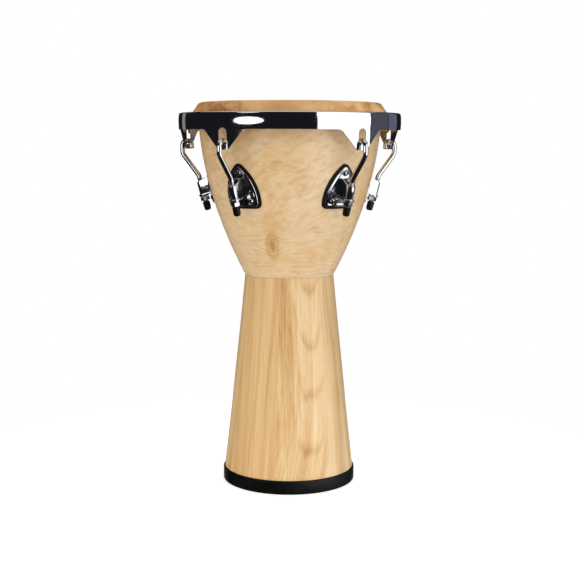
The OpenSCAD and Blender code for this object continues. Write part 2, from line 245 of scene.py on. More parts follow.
def ease(t):
    """Smooth step from 0 to 1: 3 t^2 - 2 t^3."""
    t = np.clip(t, 0, 1)
    return t * t * (3 - 2 * t)


print("helpers ready")

# %% [markdown]
# ## Materials
# Each finish starts from the real stuff: its colour as a hex value from a swatch, its typical
# gloss, and patterns sized in millimetres. One function turns hex to the linear values that
# a renderer adds up, and one adds a node with its settings and links.


# %% Colour and node helpers
def linear(code):
    """sRGB hex to linear RGBA: c / 12.92 below 0.04045, else ((c + 0.055) / 1.055) ^ 2.4."""
    c = np.array([int(code[i : i + 2], 16) for i in (1, 3, 5)]) / 255
    c = np.where(c <= 0.04045, c / 12.92, ((c + 0.055) / 1.055) ** 2.4)
    return (*map(float, c), 1.0)


def add(tree, kind, inputs=None, stops=None, **settings):
    """Adds a node: settings are its properties, inputs are values or sockets to link."""
    made = tree.nodes.new("ShaderNode" + kind)
    for key, value in settings.items():
        setattr(made, key, value)
    for key, value in (inputs or {}).items():
        if isinstance(value, bpy.types.NodeSocket):
            tree.links.new(value, made.inputs[key])
        else:
            made.inputs[key].default_value = value
    if stops:
        elements = made.color_ramp.elements
        while len(elements) < len(stops):
            elements.new(0.5)
        for element, (position, code) in zip(elements, stops):
            element.position = position
            element.color = linear(code)
    return made


def new_material(name, **values):
    """A material with a Principled shader whose constant values are set on its own sockets."""
    material = bpy.data.materials.new(name)
    material.use_nodes = True
    shader = material.node_tree.nodes["Principled BSDF"]
    for key, value in values.items():
        shader.inputs[key.replace("_", " ")].default_value = value
    return material, material.node_tree, shader


def connect(tree, shader, **sockets):
    """Links each socket to the shader's input of that name, with spaces for underscores."""
    for key, socket in sockets.items():
        tree.links.new(socket, shader.inputs[key.replace("_", " ")])


def per_metre(mm):
    """Noise scale whose features are about that many millimetres across."""
    return 1 / (mm * MM)


# %% [markdown]
# ### Chromed steel
# Bright nickel-chrome over polished steel is close to a mirror. Real plating follows the faint
# waves that polishing leaves, and handling leaves a little haze, so roughness varies slightly.


# %% Chrome
def chrome(name, tint, gloss, wave_mm, wave_height, haze):
    """Plated metal: a long soft wave in the surface and a patchy haze over it."""
    material, tree, shader = new_material(name, Metallic=1.0, Base_Color=linear(tint))
    place = add(tree, "TexCoord").outputs["Object"]
    smear = add(tree, "TexNoise", {"Vector": place, "Scale": per_metre(22), "Detail": 4.0})
    rough = add(tree, "MapRange", {"Value": smear.outputs[0], "From Min": 0.35, "From Max": 0.75,
                                   "To Min": gloss, "To Max": gloss + haze})
    wave = add(tree, "TexNoise", {"Vector": place, "Scale": per_metre(wave_mm), "Detail": 1.0})
    bump = add(tree, "Bump", {"Height": wave.outputs[0], "Strength": 1.0, "Distance": wave_height})
    connect(tree, shader, Roughness=rough.outputs[0], Normal=bump.outputs[0])
    return material


crown_chrome = chrome("chromed_steel_polished", "#E4E5E8", 0.035, 60, 0.00002, 0.05)
rod_chrome = chrome("chromed_steel_rod", "#DFE0E4", 0.06, 18, 0.00002, 0.08)
cast_chrome = chrome("chromed_zinc_casting", "#D9DADE", 0.07, 5, 0.00012, 0.12)
bolt_chrome = chrome("chromed_steel_fastener", "#DCDDE1", 0.08, 9, 0.00002, 0.10)
zinc_steel = chrome("zinc_plated_steel", "#AEB2B6", 0.28, 3, 0.00003, 0.18)
print("chrome: 5 plated finishes")

# %% [markdown]
# ### Moulded rubber
# A smooth face of black rubber reflects about four hundredths of the light. The specular level
# is half the usual one, because none of these faces is quite smooth. The foot
# ring and the caps are moulded and slightly shiny; the gaskets are cut from matt sheet.


# %% Rubber
def rubber(name, tint, dust, rough, grain_mm, grain_height):
    """Black rubber: fine moulded grain, with pale dust where a soft noise is high."""
    material, tree, shader = new_material(name, IOR=1.52, Specular_IOR_Level=0.25)
    place = add(tree, "TexCoord").outputs["Object"]
    patch = add(tree, "TexNoise", {"Vector": place, "Scale": per_metre(30), "Detail": 5.0})
    colour = add(tree, "ValToRGB", {"Fac": patch.outputs[0]}, stops=[(0.45, tint), (0.8, dust)])
    gloss = add(tree, "MapRange", {"Value": patch.outputs[0], "From Min": 0.3, "From Max": 0.8,
                                   "To Min": rough, "To Max": rough + 0.2})
    grain = add(tree, "TexNoise", {"Vector": place, "Scale": per_metre(grain_mm), "Detail": 3.0})
    bump = add(tree, "Bump", {"Height": grain.outputs[0], "Strength": 1.0, "Distance": grain_height})
    connect(tree, shader, Base_Color=colour.outputs[0], Roughness=gloss.outputs[0], Normal=bump.outputs[0])
    return material


foot_rubber = rubber("moulded_black_rubber", "#0A0A0B", "#151415", 0.30, 1.2, 0.00005)
cap_rubber = rubber("moulded_black_vinyl", "#090909", "#121212", 0.26, 1.0, 0.00002)
gasket_rubber = rubber("cut_black_sheet_rubber", "#0B0B0B", "#161615", 0.5, 0.8, 0.00006)
print("rubber: 3 finishes")

# %% [markdown]
# ### Turned bowl wood
# A pale figured hardwood, turned and clear-lacquered. Its growth rings run nearly level and
# wander, fine fibres run along them, and the curl of the grain gives short slanted bands.
# A small knot pulls the rings round itself. The lacquer is a thin clear coat.


# %% Bowl wood
def lacquer(shader, weight, rough):
    """A thin clear coat of lacquer over the wood."""
    shader.inputs["Coat Weight"].default_value = weight
    shader.inputs["Coat Roughness"].default_value = rough
    shader.inputs["Coat IOR"].default_value = 1.5


def fibrous(tree, shader, colour, fibre):
    """The wood's colour, with a gloss and a fine bump that both follow its fibres."""
    gloss = add(tree, "MapRange", {"Value": fibre, "To Min": 0.36, "To Max": 0.5})
    bump = add(tree, "Bump", {"Height": fibre, "Strength": 1.0, "Distance": 0.00003})
    connect(tree, shader, Base_Color=colour, Roughness=gloss.outputs[0], Normal=bump.outputs[0])


def warped_by(tree, place, size_mm, reach_mm):
    """The place moved by a soft noise of the given size, up to reach either way."""
    drift = add(tree, "TexNoise", {"Vector": place, "Scale": per_metre(size_mm), "Detail": 2.0})
    shift = add(tree, "VectorMath", {0: drift.outputs["Color"], 1: (0.5, 0.5, 0.5)}, operation="SUBTRACT")
    shift = add(tree, "VectorMath", {0: shift.outputs[0], "Scale": 2 * reach_mm * MM}, operation="SCALE")
    return add(tree, "VectorMath", {0: place, 1: shift.outputs[0]}, operation="ADD").outputs[0]


def streaks(tree, place, squeeze, size_mm, detail=3.0, slant=0.0):
    """Noise drawn out along the axes whose squeeze is under 1, after a turn about Y by slant."""
    turned = add(tree, "Mapping", {"Vector": place, "Rotation": (0.0, slant, 0.0)})
    drawn = add(tree, "Mapping", {"Vector": turned.outputs[0], "Scale": squeeze})
    noise = add(tree, "TexNoise", {"Vector": drawn.outputs[0], "Scale": per_metre(size_mm), "Detail": detail,
                                   "Roughness": 0.6})
    return noise.outputs[0]


def weighed(tree, parts):
    """Sum of weight times value over (weight, socket) pairs."""
    total = None
    for weight, socket in parts:
        share = add(tree, "Math", {0: socket, 1: weight}, operation="MULTIPLY").outputs[0]
        if total is not None:
            share = add(tree, "Math", {0: total, 1: share}, operation="ADD").outputs[0]
        total = share
    return total


def tint(tree, blend, factor, base, over):
    """Two colours mixed with the given blend."""
    mixed = add(tree, "Mix", {"Factor": factor, 6: base, 7: over}, data_type="RGBA", blend_type=blend)
    return mixed.outputs[2]


def faded(tree, value, mask):
    """The value where the mask is 1, faded to an even 0.5 where it is 0."""
    return add(tree, "Mix", {"Factor": mask, 2: 0.5, 3: value}, data_type="FLOAT").outputs[0]


def share_of(tree, value, low, high):
    """The value mapped from low..high to 0..1 and held there; low may be the larger one."""
    return add(tree, "MapRange", {"Value": value, "From Min": low, "From Max": high}, clamp=True).outputs[0]


RING_MM = 7.0
CURL_LOW, CURL_HIGH = 0.395, 0.445


def bowl_wood(name):
    """Figured wood read from the vector attribute 'grain', in metres, and the knot's strength."""
    material, tree, shader = new_material(name, IOR=1.5)
    lacquer(shader, 0.4, 0.16)
    grain = add(tree, "Attribute", attribute_name="grain").outputs["Vector"]
    knot = add(tree, "Attribute", attribute_name="knot").outputs["Fac"]
    level = add(tree, "SeparateXYZ", {"Vector": grain}).outputs["Z"]
    place = warped_by(tree, warped_by(tree, grain, 90, 16), 17, 2.2)

    rings = add(tree, "TexWave", {"Vector": place, "Scale": math.pi / 10 / (RING_MM * MM), "Distortion": 2.0,
                                  "Detail": 3.0, "Detail Scale": 0.6, "Detail Roughness": 0.65},
                bands_direction="Z").outputs["Fac"]
    patchy = add(tree, "TexNoise", {"Vector": grain, "Scale": per_metre(36), "Detail": 2.0}).outputs[0]
    rings = faded(tree, rings, share_of(tree, patchy, 0.40, 0.62))
    fibre = streaks(tree, place, (0.07, 0.07, 1.0), 1.3, 4.0)
    curl = share_of(tree, streaks(tree, place, (0.4, 0.4, 1.0), 6.5, 1.0, 0.55), 0.36, 0.60)
    soft = streaks(tree, place, (0.5, 0.5, 1.0), 9.0, 3.0, -0.25)
    figure = add(tree, "Mix", {"Factor": share_of(tree, level, CURL_LOW, CURL_HIGH), 2: rings, 3: curl},
                 data_type="FLOAT").outputs[0]
    broad = add(tree, "TexNoise", {"Vector": grain, "Scale": per_metre(62), "Detail": 3.0}).outputs[0]

    total = weighed(tree, [(0.14, figure), (0.37, fibre), (0.49, soft)])
    pale = [(0.30, "#CFB186"), (0.43, "#DBBF97"), (0.53, "#E2C8A2"), (0.70, "#E8D2AF")]
    colour = add(tree, "ValToRGB", {"Fac": total}, stops=pale).outputs[0]
    warm = add(tree, "ValToRGB", {"Fac": broad},
               stops=[(0.34, "#F7E3C6"), (0.48, "#FDF5E9"), (0.60, "#FFFFFF"), (0.72, "#FBF5EC")]).outputs[0]
    colour = tint(tree, "MULTIPLY", 0.8, colour, warm)
    knot_rings = [(0.0, "#FFFFFF"), (0.20, "#F7EDD8"), (0.38, "#E6D4B0"), (0.6, "#F3E8CC"), (0.95, "#D2BD96")]
    heart = add(tree, "ValToRGB", {"Fac": knot}, stops=knot_rings)
    colour = tint(tree, "MULTIPLY", 1.0, colour, heart.outputs[0])

    fibrous(tree, shader, colour, fibre)
    return material


figured_wood = bowl_wood("figured_hardwood_lacquered")
print("bowl wood ready")

# %% [markdown]
# ### Stave wood
# The stem is glued from boards sawn the other way, with the grain upright. A board's face cuts
# growth rings that lean a little, so rings show as long arches on one board and as straight
# lines on the next. Each vertex stores where it lay in its board: across, and away from the
# pith. The material draws rings round that pith line.


# %% Stave wood
def stave_wood(name):
    """Straight wood: 'board' is (across, from pith, along) in metres, 'tone' is the board's own."""
    material, tree, shader = new_material(name, IOR=1.5)
    lacquer(shader, 0.35, 0.2)
    board = add(tree, "Attribute", attribute_name="board").outputs["Vector"]
    tone = add(tree, "Attribute", attribute_name="tone").outputs["Fac"]
    flat = add(tree, "Mapping", {"Vector": board, "Scale": (1.0, 1.0, 0.16)}).outputs[0]
    place = warped_by(tree, flat, 24, 2.2)
    no_rise = add(tree, "VectorMath", {0: place, 1: (1.0, 1.0, 0.0)}, operation="MULTIPLY").outputs[0]

    rings = add(tree, "TexWave", {"Vector": no_rise, "Scale": math.pi / 10 / (RING_MM * MM),
                                  "Distortion": 0.6, "Detail": 2.0, "Detail Scale": 0.5},
                wave_type="RINGS", rings_direction="Z", wave_profile="SAW").outputs["Fac"]
    ring_tones = [(0.0, "#A6A6A6"), (0.06, "#BCBCBC"), (0.70, "#BCBCBC"), (0.90, "#000000"), (1.0, "#A6A6A6")]
    late = add(tree, "ValToRGB", {"Fac": rings}, stops=ring_tones)
    across = add(tree, "SeparateXYZ", {"Vector": board}).outputs["X"]
    aside = add(tree, "Math", {0: across}, operation="ABSOLUTE").outputs[0]
    arches = add(tree, "MapRange", {"Value": aside, "From Min": 0.011, "From Max": 0.026, "To Min": 1.0,
                                    "To Max": 0.18}, clamp=True).outputs[0]
    late = faded(tree, late.outputs[0], arches)
    fibre = streaks(tree, flat, (1.0, 1.0, 0.2), 1.3, 4.0)
    streak = share_of(tree, streaks(tree, place, (1.0, 0.3, 0.2), 13.0), 0.25, 0.75)
    stripes = share_of(tree, streaks(tree, flat, (1.0, 0.3, 0.3), 3.0, 1.0), 0.34, 0.66)
    stripes = faded(tree, stripes, share_of(tree, across, -0.006, -0.022))

    total = weighed(tree, [(0.30, late), (0.24, fibre), (0.36, streak), (0.13, stripes)])
    pale = add(tree, "ValToRGB", {"Fac": total},
               stops=[(0.30, "#BB905A"), (0.44, "#D4B180"), (0.55, "#DEC297"), (0.7, "#EAD6B3")])
    golden = add(tree, "ValToRGB", {"Fac": total},
                 stops=[(0.30, "#B07A3C"), (0.44, "#CB9B5A"), (0.55, "#D9B070"), (0.7, "#E6C48B")])
    colour = tint(tree, "MIX", tone, pale.outputs[0], golden.outputs[0])
    fibrous(tree, shader, colour, fibre)
    return material


straight_wood = stave_wood("straight_hardwood_lacquered")
print("stave wood ready")

# %% [markdown]
# ### Rawhide
# A scraped goat skin dries amber where it is stretched thin, with darker marks along the
# spine, fine pores, and faint creases where it turns down over the edge. It scatters a little
# light under its surface and has a soft, waxy sheen.


# %% Rawhide
def rawhide(name):
    """Skin: broad amber clouds, brown marks, pores, creases that run down the collar, and painted side shade.
    """
    material, tree, shader = new_material(name, IOR=1.5, Subsurface_Weight=0.08, Subsurface_Scale=0.002)
    place = add(tree, "TexCoord").outputs["Object"]
    cloud = add(tree, "TexNoise", {"Vector": place, "Scale": per_metre(70), "Detail": 5.0, "Distortion": 0.8})
    mark_map = add(tree, "Mapping", {"Vector": place, "Scale": (1.0, 0.35, 1.0)})
    marks = add(tree, "TexNoise", {"Vector": mark_map.outputs[0], "Scale": per_metre(28), "Detail": 6.0,
                                   "Roughness": 0.6})
    pores = add(tree, "TexVoronoi", {"Vector": place, "Scale": per_metre(1.6)})
    colour = add(tree, "ValToRGB", {"Fac": cloud.outputs[0]},
                 stops=[(0.3, "#C2965E"), (0.45, "#D9B079"), (0.58, "#E4C08A"), (0.75, "#EBCC9D")])
    brown = add(tree, "ValToRGB", {"Fac": marks.outputs[0]},
                stops=[(0.32, "#A87645"), (0.42, "#EAD7BB"), (0.52, "#FFFFFF")])
    marked = tint(tree, "MULTIPLY", 0.8, colour.outputs[0], brown.outputs[0])
    # Painted shade and light: this ramp over X darkens and warms the head from its left edge to the middle,
    # and leaves it at full colour at the right edge, where the light falls.
    sideways = add(tree, "SeparateXYZ", {"Vector": place}).outputs["X"]
    painted_side_shade = add(tree, "ValToRGB", {"Fac": share_of(tree, sideways, -0.15, 0.15)},
                stops=[(0.0, "#DCCFBA"), (0.5, "#DDD0BD"), (0.9, "#FFFFFF")]).outputs[0]
    marked = tint(tree, "MULTIPLY", 1.0, marked, painted_side_shade)
    gloss = add(tree, "MapRange", {"Value": cloud.outputs[0], "To Min": 0.36, "To Max": 0.55})
    bump = add(tree, "Bump", {"Height": pores.outputs["Distance"], "Strength": 0.5, "Distance": 0.00006})
    connect(tree, shader, Base_Color=marked, Roughness=gloss.outputs[0], Normal=bump.outputs[0])
    return material


hide = rawhide("scraped_rawhide")
print("rawhide ready")

# %% [markdown]
# ## The turned bowl
# On the real drum the bowl is turned on a lathe from glued blocks, so the same is done here:
# one closed outline, up the outside, over the bearing edge, down the inside and round the
# socket for the stem, is turned a full circle.


# %% Bowl
NECK_R = 52 * MM
TENON_R = 62.2 * MM
SOCKET_H = 13.5 * MM
outer_z = np.linspace(JOINT_Z, BOWL_TOP, 90)
inner_z = np.linspace(BOWL_TOP - 6 * MM, JOINT_Z + SOCKET_H + 4 * MM, 50)
wall = WALL_TOP + WALL_GAIN * (BOWL_TOP - inner_z) / (BOWL_TOP - JOINT_Z)
bowl_loop = np.concatenate([
    [[bowl_r(JOINT_Z + 0.8 * MM) - 1.1 * MM, JOINT_Z]],
    np.stack([bowl_r(outer_z), outer_z], 1)[1:],
    arc(EDGE_C, EDGE_ROUND, 4, 125, 16),
    np.stack([bowl_r(inner_z) - wall, inner_z], 1),
    [[NECK_R, JOINT_Z + SOCKET_H], [TENON_R, JOINT_Z + SOCKET_H], [TENON_R, JOINT_Z]],
])
points, faces = lathe(bowl_loop, 256)
bowl = new_piece("turned_bowl", points, faces, figured_wood, "root", ["bowl"])

# The knot sits low on the front of the bowl, a little to the player's left. Near it the
# grain is pushed up above and down below, so that the rings part round it.
KNOT_TURN = math.radians(-90 - 17.2)
KNOT_Z = 393 * MM
KNOT_SIZE = np.array([8.5, 19]) * MM
KNOT_PULL, KNOT_REACH = 9 * MM, 1.9
p = mesh_points(bowl)
out_way = np.array([math.cos(KNOT_TURN), math.sin(KNOT_TURN)])
aside = p[:, 0] * out_way[1] - p[:, 1] * out_way[0]
facing = (p[:, :2] @ out_way > 0) & (p[:, 2] > JOINT_Z)
away = np.hypot(aside / KNOT_SIZE[0], (p[:, 2] - KNOT_Z) / KNOT_SIZE[1])
pull = facing * np.exp(-((away / KNOT_REACH) ** 2)) * np.tanh((p[:, 2] - KNOT_Z) / (3 * MM))
grain = p.copy()
grain[:, 2] -= KNOT_PULL * pull
store(bowl, "grain", grain)
store(bowl, "knot", facing * np.exp(-(away**2)))
print("bowl:", len(bowl.data.vertices), "vertices")

# %% [markdown]
# ## The stem's staves
# Each stave is a share of a turned ring: the same outline turned through its own angle, with
# two flat glued sides. Along the seams the lacquer draws back, so each stave's outer face
# drops a hair towards its edges. Every board has its own tone and its own pith line.


# %% Staves
STEM_FOOT_R = 105.5 * MM
STEM_FLARE = 1.06
STAVE_T = 17 * MM
REBATE_R = FOOT_R - 6 * MM
FOOT_LIP = 4 * MM
TENON_H = 13 * MM
SEAM_W = 0.5 * MM
SEAM_DROP = 0.12 * MM


def stem_r(z):
    """Outer radius of the stem: the waist's radius plus a gentle flare down to the foot."""
    return WAIST_R + (STEM_FOOT_R - WAIST_R) * ((JOINT_Z - z) / (JOINT_Z - FOOT_H)) ** STEM_FLARE


def round_axis(points, middle):
    """Each point's angle from the bearing middle, within half a turn, in degrees, and radius."""
    turn = np.degrees(np.arctan2(points[:, 1], points[:, 0]))
    return (turn - middle + 180) % 360 - 180, np.hypot(points[:, 0], points[:, 1])


def stave_turn(k):
    """Start and end angle of stave k about the axis, in degrees, from its CAD node."""
    at = mesh_points(frame["nodes"][f"stem_stave_{k}"])
    at = at[np.hypot(at[:, 0], at[:, 1]) > REBATE_R]
    middle = math.atan2(at[:, 1].mean(), at[:, 0].mean())
    spread = np.angle(np.exp(1j * (np.arctan2(at[:, 1], at[:, 0]) - middle)))
    return math.degrees(middle + spread.min()), math.degrees(middle + spread.max())


stem_z = np.linspace(FOOT_H, JOINT_Z, 60)
stave_loop = np.concatenate([
    [[REBATE_R, FOOT_LIP], [REBATE_R, FOOT_H]],
    np.stack([stem_r(stem_z), stem_z], 1),
    [[TENON_R - 0.2 * MM, JOINT_Z], [TENON_R - 0.2 * MM, JOINT_Z + TENON_H], [NECK_R, JOINT_Z + TENON_H]],
    [[NECK_R, JOINT_Z], [STEM_FOOT_R - STAVE_T, FOOT_LIP]],
])
# How a board was sawn: pith's place to the side and behind its face, and its lean per metre.
CATHEDRAL = (15.6 * MM, 86.0 * MM, -0.08)
QUARTERED = (-75 * MM, 22 * MM, 0.012)
ARCHED = (1, 3, 5)
FOOT_SWAY, SWAY_H = 22 * MM, 130 * MM
# Each board takes its figure from another stretch of one long plank, this many metres on.
BOARD_APART = 3.1
TONES = {1: 0.32, 2: 0.15, STAVES: 0.52}
rng = np.random.default_rng(11)
for k in range(1, STAVES + 1):
    first, last = stave_turn(k)
    points, faces = lathe(stave_loop, 25, (first, last))
    middle = (first + last) / 2
    from_middle, radius = round_axis(points, middle)
    from_seam = radius * np.radians((last - first) / 2 - np.abs(from_middle))
    outside = (points[:, 2] > FOOT_H) & (points[:, 2] < JOINT_Z) & (radius > NECK_R + STAVE_T / 2)
    dip = np.where(outside, SEAM_DROP * np.clip(1 - from_seam / SEAM_W, 0, 1), 0)
    points[:, :2] *= (1 - dip / radius)[:, None]
    stave = new_piece(f"stave_{k}", points, faces, straight_wood, "root", [f"stem_stave_{k}"])
    p = mesh_points(stave)
    from_middle, radius = round_axis(p, middle)
    across = radius * np.radians(from_middle)
    sawn = CATHEDRAL if k in ARCHED else QUARTERED
    pith_side, pith_depth, lean = np.array(sawn) * (1 if k == 1 else rng.uniform(0.6, 1.4))
    if k in ARCHED:
        across = across + FOOT_SWAY * np.clip(1 - p[:, 2] / SWAY_H, 0, 1) ** 2
    behind = pith_depth + lean * (p[:, 2] - FOOT_H) + radius - stem_r(np.clip(p[:, 2], 0, JOINT_Z))
    store(stave, "board", np.stack([across - pith_side, behind, p[:, 2] + BOARD_APART * k], 1))
    store(stave, "tone", np.full(len(p), TONES.get(k, rng.uniform(0.1, 0.9))))
print("staves:", STAVES, "boards")

# %% [markdown]
# ## Rubber foot
# A moulded ring pushed over the staves' ends, with soft outer edges and a lip underneath.

# %% Foot ring
FOOT_BORE = 86 * MM
foot_loop = rounded(
    [[FOOT_BORE, 0], [FOOT_R, 0], [FOOT_R, FOOT_H],
     [REBATE_R, FOOT_H], [REBATE_R, FOOT_LIP], [FOOT_BORE, FOOT_LIP]],
    [1 * MM, 1.8 * MM, 2.6 * MM, 0.4 * MM, 0, 1 * MM])
points, faces = lathe(foot_loop, 256)
foot = new_piece("foot_ring", points, faces, foot_rubber, "root", ["rubber_foot"])
print("foot ring:", len(foot.data.polygons), "faces")

# %% [markdown]
# ## Rawhide head
# The skin is one thin sheet: flat across the top, over the bearing edge, down a sloping
# collar and round the flesh hoop. Its outline is the path of the sheet's middle with half a
# thickness on each side. Faint pleats gather towards the hoop.

# %% Head
HIDE_GAP = 0.3 * MM
hoop_wire = (hoop_high.z - hoop_low.z) / 2
HOOP_C = np.array([hoop_high.x - hoop_wire, hoop_low.z + hoop_wire])
edge_path = EDGE_ROUND + SKIN_T / 2
wrap_path = hoop_wire + HIDE_GAP + SKIN_T / 2
span = HOOP_C - EDGE_C
span_turn = math.atan2(span[1], span[0])
collar_turn = math.degrees(math.acos((edge_path + wrap_path) / np.linalg.norm(span)) + span_turn)
half_skin = SKIN_T / 2
WRAP_END = 495
collar_share = np.linspace(0, 1, 12)[1:-1, None]


def skin_side(side):
    """Points (r, z) of one face of the skin, side = +1 outside or -1 inside, from the middle out."""
    over = arc(EDGE_C, edge_path + side * half_skin, 90, collar_turn, 14)
    wrap = arc(HOOP_C, wrap_path - side * half_skin, collar_turn + 180, WRAP_END, 36)
    top = np.stack([np.linspace(0, EDGE_C[0], 40)[:-1], np.full(39, over[0, 1])], 1)
    return np.concatenate([top, over, over[-1] + collar_share * (wrap[0] - over[-1]), wrap])


skin_loop = np.concatenate([skin_side(1), skin_side(-1)[::-1]])
points, faces = lathe(skin_loop, 360)
turn = np.arctan2(points[:, 1], points[:, 0])
down = ease((BOWL_TOP + 4 * MM - points[:, 2]) / (20 * MM))
pleat = 0.16 * MM * down * (np.sin(61 * turn + 2 * np.sin(7 * turn)) + 0.7 * np.sin(37 * turn + 1.3))
sag = 0.12 * MM * np.sin(3 * turn + 0.6) * ease(np.hypot(points[:, 0], points[:, 1]) / HEAD_R) * (1 - down)
points[:, :2] *= (1 + pleat / np.maximum(np.hypot(points[:, 0], points[:, 1]), MM))[:, None]
points[:, 2] -= np.abs(sag)
skin = new_piece("rawhide_head", points, faces, hide, None)
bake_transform(skin)
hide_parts("drum_skin")
print("head:", len(skin.data.vertices), "vertices")

# %% [markdown]
# ## Crown
# The crown is pressed from sheet: a band with a rolled top, a flange that bears on the hoop,
# and five wings, each with a window. It is made as one sheet on a grid whose columns run
# round the drum and whose rows run from the wing's edge up over the roll to the flange. The
# rows bend to follow the wing's outline and the window; faces inside a window are left out.
# Solidify then gives the sheet its thickness and Bevel softens its cut edges. The band bulges
# a little and the wings lean in below it, so the sheet is half a millimetre thinner than the
# CAD's, which keeps it clear of the hooks' tips.

# %% Crown outline
CROWN_T = 2.5 * MM
CROWN_R = crown_high.x - 0.15 * MM
BAND_LOW = DRUM_H - 43 * MM
BAND_TOP = DRUM_H - 16.5 * MM
WING_TIP = crown_low.z
WING_W, WING_TIP_W = 75 * MM, 18 * MM
WING_FILLET, WING_CORNER = 12 * MM, 4 * MM
WINDOW_R = 7.5 * MM
WINDOW_LOW = BAND_LOW - 22.6 * MM
WINDOW_TOP = BAND_LOW + 2 * MM
FLANGE_R = 160.2 * MM
ROLL = 3.4 * MM
BULGE = 0.7 * MM
WING_LEAN = 0.045
WINDOW_COLS = 8

side = math.degrees(math.atan2(BAND_LOW - WING_TIP, (WING_W - WING_TIP_W) / 2))
corner_t = WING_CORNER * math.tan(math.radians(side / 2))
fillet_t = WING_FILLET * math.tan(math.radians(side / 2))
corner_arc = arc([WING_TIP_W / 2 - corner_t, WING_TIP + WING_CORNER], WING_CORNER, -90, side - 90, 6)
fillet_arc = arc([WING_W / 2 + fillet_t, BAND_LOW - WING_FILLET], WING_FILLET, 90 + side, 90, 10)
straight = corner_arc[-1] + np.linspace(0, 1, 11)[1:-1, None] * (fillet_arc[0] - corner_arc[-1])
window_x = np.linspace(0, WINDOW_R, WINDOW_COLS + 1)
in_window = np.stack([window_x, np.full(WINDOW_COLS + 1, WING_TIP)], 1)
corner_arc = corner_arc[corner_arc[:, 0] > WINDOW_R + 0.3 * MM]
lower_edge = np.concatenate([in_window, corner_arc, straight, fillet_arc])
band_turn = np.linspace(math.asin(lower_edge[-1, 0] / CROWN_R), math.pi / LUGS, 16)[1:]
edge_x = np.concatenate([lower_edge[:, 0], CROWN_R * np.sin(band_turn)])
edge_turn = np.concatenate([np.arcsin(lower_edge[:, 0] / CROWN_R), band_turn])
edge_z = np.concatenate([lower_edge[:, 1], np.full(len(band_turn), BAND_LOW)])
print("crown:", len(edge_z), "columns in half a wing")

# %% Crown sheet
# Three lines that the rows pass through: the wing's edge, the window's foot and its head.
arch = np.linspace(0, 90, WINDOW_COLS + 1)
arch_x = np.concatenate([WINDOW_R * np.sin(np.radians(arch)), edge_x[WINDOW_COLS + 1 :]])
arch_turn = np.where(np.arange(len(edge_x)) <= WINDOW_COLS, np.arcsin(arch_x / CROWN_R), edge_turn)
foot_line = np.maximum(WINDOW_LOW, edge_z + 1.2 * MM)
head_line = np.maximum(WINDOW_TOP - WINDOW_R, foot_line + 1.2 * MM)
head_line[: WINDOW_COLS + 1] = WINDOW_TOP - WINDOW_R + WINDOW_R * np.cos(np.radians(arch))
band_line = np.full(len(edge_z), BAND_LOW + 4 * MM)
roll_line = np.full(len(edge_z), BAND_TOP - ROLL)


def between(line_a, line_b, turn_a, turn_b, rows):
    """Rows of (turn, z) that run in equal steps from one line towards the next."""
    t = np.arange(rows)[:, None] / rows
    return (1 - t) * turn_a + t * turn_b, (1 - t) * line_a + t * line_b


STRIP_ROWS, WINDOW_ROWS = 6, 9
parts = [
    between(edge_z, foot_line, edge_turn, edge_turn, STRIP_ROWS),
    between(foot_line, head_line, edge_turn, arch_turn, WINDOW_ROWS),
    between(head_line, band_line, arch_turn, edge_turn, 5),
    between(band_line, roll_line, edge_turn, edge_turn, 9),
]
sheet_turn = np.concatenate([part[0] for part in parts])
sheet_z = np.concatenate([part[1] for part in parts])
middle_z, half_h = (BAND_LOW + BAND_TOP) / 2, (BAND_TOP - BAND_LOW) / 2
rise = np.clip((sheet_z - middle_z) / half_h, -1, 1)
sheet_r = CROWN_R - BULGE * rise**2 - WING_LEAN * np.maximum(BAND_LOW - sheet_z, 0)

# Above the band the rows follow one profile: a roll with a small bead, then the flange.
roll = arc([CROWN_R - BULGE - ROLL, BAND_TOP - ROLL], ROLL, 0, 90, 8)
roll[:, 0] += 0.35 * MM * np.sin(np.linspace(0, np.pi, len(roll)))
flange = np.stack([np.linspace(roll[-1, 0], FLANGE_R, 7)[1:], np.full(6, BAND_TOP)], 1)
top = np.concatenate([roll, flange])
half_turn = np.concatenate([sheet_turn, np.repeat(edge_turn[None], len(top), 0)])
half_z = np.concatenate([sheet_z, np.repeat(top[:, 1:], len(edge_z), 1)])
half_r = np.concatenate([sheet_r, np.repeat(top[:, :1], len(edge_z), 1)])

# The other half of a wing is its mirror image, and the whole is repeated at every lug.
turn = np.concatenate([-half_turn[:, :0:-1], half_turn], 1)[:, 1:]
z = np.concatenate([half_z[:, :0:-1], half_z], 1)[:, 1:]
r = np.concatenate([half_r[:, :0:-1], half_r], 1)[:, 1:]
lug_turns = [math.atan2(lug_place(k)[1, 3], lug_place(k)[0, 3]) for k in range(1, LUGS + 1)]
turn = np.concatenate([turn + lug_turn for lug_turn in lug_turns], 1)
z, r = np.tile(z, LUGS), np.tile(r, LUGS)
rows, cols = z.shape
grid = np.stack([r * np.cos(turn), r * np.sin(turn), z], -1).reshape(-1, 3)
faces = quads(rows, cols, False, True)
row, col = faces[:, 0] // cols, faces[:, 0] % (cols // LUGS)
centre = len(edge_z) - 2
open_rows = (row >= STRIP_ROWS) & (row < STRIP_ROWS + WINDOW_ROWS)
open_cols = (col >= centre - WINDOW_COLS) & (col < centre + WINDOW_COLS)
faces = faces[~(open_rows & open_cols)]
crown = new_piece("crown_rim_sheet", grid, faces, crown_chrome, "crown", ["crown_rim"], sharp=50,
                  closed=False)

solidify = crown.modifiers.new("thickness", "SOLIDIFY")
solidify.thickness = CROWN_T
solidify.offset = -1
solidify.use_even_offset = True
bevel = crown.modifiers.new("soft_edges", "BEVEL")
bevel.width = 0.6 * MM
bevel.segments = 3
bevel.limit_method = "ANGLE"
bevel.angle_limit = math.radians(50)
bevel.harden_normals = True
print("crown sheet:", len(crown.data.polygons), "faces")

